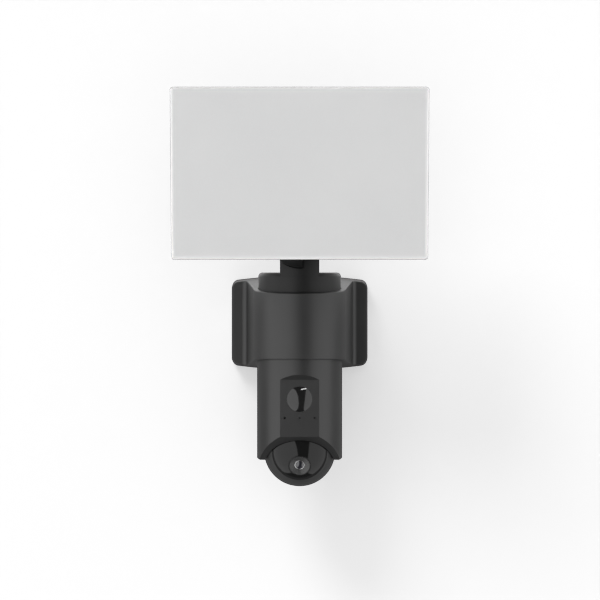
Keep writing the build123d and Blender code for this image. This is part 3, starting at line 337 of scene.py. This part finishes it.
def lens_coating():
    """Dark glass with a painted violet-green sheen towards grazing faces, standing in for the reflection of
    an anti-reflection coating.
    """
    s = Shader("lens_coating")
    # Painted sheen: the base colour turns violet towards grazing faces, in place of the coating's coloured
    # reflection.
    facing = s.add("ShaderNodeLayerWeight")
    facing.inputs["Blend"].default_value = 0.35
    tint = s.mix(facing.outputs["Facing"], (0.004, 0.005, 0.008, 1), (0.02, 0.014, 0.03, 1))
    s.colour(tint)
    s.rough(s.span(s.noise(300.0, 2.0), 0.3, 0.7, 0.02, 0.05))
    s.surface.inputs["Coat Weight"].default_value = 1.0
    s.surface.inputs["Coat Roughness"].default_value = 0.02
    return s.material


def dress(material, *nodes):
    """Gives CAD nodes a material."""
    for name in nodes:
        mesh = frame["nodes"][name].data
        mesh.materials.clear()
        mesh.materials.append(material)


def dress_all():
    """Gives every CAD node its material."""
    dress(moulded_plastic("dark_plastic", 0.0105, 0.43), "base_housing")
    dress(moulded_plastic("body_plastic", 0.010, 0.40), "sensor_body", "card_door")
    # The collar and the lamp arm get a far darker tone than the other plastics: painted shade for the shadow
    # of the lamp panel on the neck and in the arm's pocket.
    dress(moulded_plastic("collar_plastic_painted_shade", 0.003, 0.46, 0.30), "swivel_collar", "lamp_arm")
    dress(moulded_plastic("ball_plastic", 0.012, 0.50), "ball_front", "ball_rear")
    dress(opal_sheet(), "lamp_diffuser")
    dress(gloss_black("window_plastic", 0.0045, 0.09, 0.0, 0.27), "camera_window")
    dress(gloss_black("sensor_lens_plastic", 0.0045, 0.09, 0.0, 0.52), "pir_lens")
    dress(gloss_black("bezel_plastic", 0.010, 0.2, 0.2), "lens_bezel", "lens_barrel")
    dress(lens_coating(), "lens_glass")
    dress(galvanised(), "wall_plate")
    dress(powder_coat("cast_housing", 0.022), "lamp_housing")
    seals = rubber("seal_rubber", 0.02)
    dress(seals, "wall_seal", "cable_grommet", "body_seal", "lamp_gasket", "mic_seal")
    dress(seals, "reset_button", "breather_vent")
    dress(rubber("thermal_pad", 0.4), "thermal_pad")
    steel = brushed_metal("screw_steel", 0.36)
    dress(steel, "base_screws", "terminal_screws", "driver_screws", "body_screws", "tilt_bolt", "tilt_nut")
    dress(steel, "arm_screws", "lamp_screws", "ball_screws", "tilt_pins", "card_door_pin")
    dress(steel, "swivel_clip", "pan_clip")
    dress(brushed_metal("shield_can", 0.7, 0.28), "board_shields", "pir_sensor", "speaker_mesh")
    dress(pale_plastic("acetal", (0.75, 0.75, 0.72, 1)), "swivel_washer", "friction_washer", "pan_fork")
    dress(pale_plastic("white_board", (0.82, 0.82, 0.8, 1), 0.3), "led_board", "lamp_reflector")
    dress(led_phosphor(), "led_chips")
    dress(circuit_board(), "driver_board", "sensor_board", "main_board", "image_board", "night_board")
    black = moulded_plastic("black_fittings", 0.01, 0.5)
    dress(black, "terminal_block", "driver_parts", "speaker", "card_socket", "reset_switch")
    # The light pipes get a dark tone as painted shade, standing in for the dark of the holes they sit in.
    dress(gloss_black("pipe_painted_shade", 0.006, 0.2, 0.1), "status_light_pipe", "light_sensor_pipe")
    dress(gloss_black("night_led", 0.01, 0.1), "night_leds")


# ---------------------------------------------------------------- fine pieces


def lens_place():
    """Places a piece built along +Z from the ball's middle so that it looks along the lens."""
    return Matrix.Translation(BALL) @ Matrix.Rotation(math.radians(90 + LENS_DOWN_DEG), 4, "X")


def lathe(name, profile, segments=96):
    """A solid of revolution round +Z from a closed list of (radius, height) points."""
    bm = bmesh.new()
    rings = []
    for i in range(segments):
        a = 2 * math.pi * i / segments
        rings.append([bm.verts.new((r * math.cos(a), r * math.sin(a), z)) for r, z in profile])
    n = len(profile)
    for i in range(segments):
        a, b = rings[i], rings[(i + 1) % segments]
        for k in range(n):
            bm.faces.new((a[k], b[k], b[(k + 1) % n], a[(k + 1) % n]))
    bmesh.ops.recalc_face_normals(bm, faces=bm.faces)
    mesh = bpy.data.meshes.new(name)
    bm.to_mesh(mesh)
    bm.free()
    obj = bpy.data.objects.new(name, mesh)
    bpy.context.collection.objects.link(obj)
    for face in mesh.polygons:
        face.use_smooth = True
    edge = obj.modifiers.new("edge", "BEVEL")
    edge.width = 0.12 * MM
    edge.segments = 2
    edge.limit_method = "ANGLE"
    edge.angle_limit = math.radians(25)
    return obj


def lens_front():
    """The lens surround: a rounded dark rim, a stepped light baffle and a bright retaining ring."""
    face, back, low = LENS_FACE, LENS_BACK, BAFFLE_FLOOR
    rim = [(8.8, back), (8.8, face - 0.5), (8.6, face - 0.12), (8.3, face), (8.05, face - 0.2), (8.0, back)]
    top = face - 0.45
    baffle = [(7.98, back), (7.98, top + 0.1)]
    for i in range(BAFFLE_STEPS):
        r = 7.85 - i * 0.80
        z = top - i * (top - low) / BAFFLE_STEPS
        baffle += [(r, z), (r - 0.50, z - 0.04), (r - 0.60, z - 0.24)]
    baffle += [(3.95, low), (3.95, low - 0.55), (6.9, low - 0.55), (6.9, back)]
    ring = [(3.93, 25.0), (3.93, 25.72), (3.75, 25.86), (3.5, 25.8), (3.42, 25.5), (3.42, 25.0)]
    pieces = [
        ("lens_rim", rim, gloss_black("rim_plastic", 0.003, 0.25, 0.0, 0.3), "black_plastic"),
        ("lens_baffle", baffle, moulded_plastic("baffle_plastic", 0.026, 0.30), "black_plastic"),
        ("lens_retaining_ring", ring, brushed_metal("ring_metal", 0.6, 0.22), "steel"),
    ]
    for name, profile, material, slot in pieces:
        obj = lathe(name, [(r * MM, z * MM) for r, z in profile])
        obj.data.materials.append(material)
        obj.matrix_world = lens_place()
        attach(obj, "camera_ball")
        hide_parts("lens_bezel")


# ---------------------------------------------------------------- stage


def soft_box(name, place, aim, width, height, radiance, shape="ELLIPSE"):
    """An area light of a given brightness, so that its reflections keep their tone at any size."""
    data = bpy.data.lights.new(name, "AREA")
    data.shape = shape
    data.size, data.size_y = width, height
    area = width * height * (math.pi / 4 if shape == "ELLIPSE" else 1.0)
    data.energy = radiance * math.pi * area
    lamp = bpy.data.objects.new(name, data)
    lamp.location = place
    lamp.rotation_euler = (Vector(aim) - Vector(place)).to_track_quat("-Z", "Y").to_euler()
    bpy.context.collection.objects.link(lamp)
    return lamp


def around(azimuth, elevation, distance):
    """A place round the body: azimuth 0 is straight ahead of it, positive to the viewer's right."""
    a, e = math.radians(azimuth), math.radians(elevation)
    out = Vector((math.sin(a) * math.cos(e), -math.cos(a) * math.cos(e), math.sin(e)))
    return AXIS + out * distance


def lights():
    """Two tall oval boxes for the upright highlights, a strip for the sensor's spark, and soft fill."""
    return [
        soft_box("left_box", around(-54, -9, 1.2), AXIS, 2.6, 3.9, 1.7),
        soft_box("right_box", around(70, -9, 1.2), AXIS, 2.1, 3.9, 1.5),
        soft_box("top_box", around(0, 80, 1.6), AXIS, 1.2, 0.9, 1.2),
        soft_box("spark", around(32, 50, 1.5), AXIS, 0.75, 0.12, 20.0, "RECTANGLE"),
        soft_box("rear_left_box", around(-140, 20, 1.8), AXIS, 1.2, 1.6, 1.6),
        soft_box("rear_right_box", around(140, 20, 1.8), AXIS, 1.2, 1.6, 1.6),
    ]


def wall_lights(wall, floor, others):
    """The wall's own key, from the upper left, and a fill that nothing blocks: a soft shadow to the right."""
    key = soft_box("wall_key", (-0.85, -1.15, 1.7), (0, 0, 0), 0.9, 0.9, 3.0)
    fill = soft_box("wall_fill", (-0.3, -1.6, 0.5), (0, 0, 0), 1.4, 1.4, 0.8)
    only_wall = bpy.data.collections.new("only_wall")
    only_wall.objects.link(wall)
    only_floor = bpy.data.collections.new("only_floor")
    only_floor.objects.link(floor)
    for lamp in (key, fill):
        lamp.light_linking.receiver_collection = only_wall
    fill.light_linking.blocker_collection = only_floor
    not_wall = bpy.data.collections.new("not_wall")
    not_wall.objects.link(wall)
    not_wall.collection_objects[0].light_linking.link_state = "EXCLUDE"
    for lamp in others:
        lamp.light_linking.receiver_collection = not_wall


def world():
    """White to the camera, dim to everything else."""
    w = bpy.data.worlds.new("studio")
    bpy.context.scene.world = w
    w.use_nodes = True
    tree = w.node_tree
    tree.nodes.clear()
    out = tree.nodes.new("ShaderNodeOutputWorld")
    seen = tree.nodes.new("ShaderNodeBackground")
    seen.inputs["Color"].default_value = (1, 1, 1, 1)
    dim = tree.nodes.new("ShaderNodeBackground")
    dim.inputs["Color"].default_value = (1, 1, 1, 1)
    dim.inputs["Strength"].default_value = 0.15
    path = tree.nodes.new("ShaderNodeLightPath")
    pick = tree.nodes.new("ShaderNodeMixShader")
    tree.links.new(path.outputs["Is Camera Ray"], pick.inputs[0])
    tree.links.new(dim.outputs[0], pick.inputs[1])
    tree.links.new(seen.outputs[0], pick.inputs[2])
    tree.links.new(pick.outputs[0], out.inputs["Surface"])


def plane(name, size, place, turn):
    """A square sheet of the stage."""
    mesh = bpy.data.meshes.new(name)
    h = size / 2
    mesh.from_pydata([(-h, -h, 0), (h, -h, 0), (h, h, 0), (-h, h, 0)], [], [(0, 1, 2, 3)])
    obj = bpy.data.objects.new(name, mesh)
    obj.location = place
    obj.rotation_euler = turn
    bpy.context.collection.objects.link(obj)
    return obj


def one_sided():
    """Plain white in front and clear from behind, so that the back of the object can be seen."""
    s = Shader("wall_catcher")
    s.colour(s.mix(s.noise(4.0, 2.0), grey(0.78), grey(0.82)))
    clear = s.add("ShaderNodeBsdfTransparent")
    pick = s.add("ShaderNodeMixShader")
    s.link(s.add("ShaderNodeNewGeometry").outputs["Backfacing"], pick.inputs[0])
    s.link(s.surface.outputs["BSDF"], pick.inputs[1])
    s.link(clear.outputs["BSDF"], pick.inputs[2])
    output = next(n for n in s.tree.nodes if n.type == "OUTPUT_MATERIAL")
    s.link(pick.outputs["Shader"], output.inputs["Surface"])
    return s.material


def wall_bounce():
    """The wall as light sees it, brightest just above the base, with an opening behind the wall plate."""
    lo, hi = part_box("wall_plate")
    inner = [(lo.x, lo.z), (hi.x, lo.z), (hi.x, hi.z), (lo.x, hi.z)]
    outer = [(-1.6, FLOOR_Z), (1.6, FLOOR_Z), (1.6, 1.6), (-1.6, 1.6)]
    mesh = bpy.data.meshes.new("wall_bounce")
    points = [(x, BOUNCE_Y, z) for x, z in inner + outer]
    mesh.from_pydata(points, [], [(i, (i + 1) % 4, (i + 1) % 4 + 4, i + 4) for i in range(4)])
    obj = bpy.data.objects.new("wall_bounce", mesh)
    bpy.context.collection.objects.link(obj)
    obj.visible_camera = False
    obj.visible_shadow = False
    s = Shader("wall_paint")
    band = s.span(s.axis("Z"), 0.080, 0.120, 1.0, 0.3)
    above = s.math("MULTIPLY", s.span(s.axis("Z"), 0.032, 0.050, 0.0, 1.0), band)
    s.colour(s.mix(above, grey(0.24), s.mix(s.noise(3.0, 2.0), grey(0.80), grey(0.86))))
    s.rough(0.8)
    s.surface.inputs["Emission Color"].default_value = (1, 1, 1, 1)
    s.feed(s.surface, "Emission Strength", s.math("MULTIPLY", above, 0.85))
    mesh.materials.append(s.material)


def stage(lamps):
    """The pale floor, the wall that catches the shadow, and the wall that bounces light."""
    floor = plane("floor", 12.0, (0, -0.1, FLOOR_Z), (0, 0, 0))
    floor.visible_glossy = False
    floor.visible_diffuse = False
    floor.visible_shadow = False
    s = Shader("pale_floor")
    s.colour(s.mix(s.noise(6.0, 3.0), grey(0.60), grey(0.64)))
    s.rough(0.6)
    s.surface.inputs["Emission Color"].default_value = (1, 1, 1, 1)
    s.surface.inputs["Emission Strength"].default_value = 0.2
    floor.data.materials.append(s.material)
    wall = plane("wall_shadow", 3.0, (0, WALL_Y, 0.0), (math.pi / 2, 0, 0))
    wall.is_shadow_catcher = True
    wall.visible_glossy = False
    wall.visible_diffuse = False
    wall.visible_shadow = False
    wall.data.materials.append(one_sided())
    wall_bounce()
    wall_lights(wall, floor, lamps)


def camera():
    """A long lens, level, straight in front of the object."""
    data = bpy.data.cameras.new("camera")
    data.lens = LENS_MM
    data.sensor_width = SENSOR_MM
    data.shift_y = FRAME_SHIFT
    data.clip_start = 0.05
    obj = bpy.data.objects.new("camera", data)
    obj.location = (EYE_SIDE, -EYE_DISTANCE, EYE_HEIGHT)
    obj.rotation_euler = (math.pi / 2, 0, 0)
    bpy.context.collection.objects.link(obj)
    bpy.context.scene.camera = obj
    bpy.context.scene.view_settings.view_transform = "Standard"


dress_all()
lens_front()
world()
stage(lights())
camera()
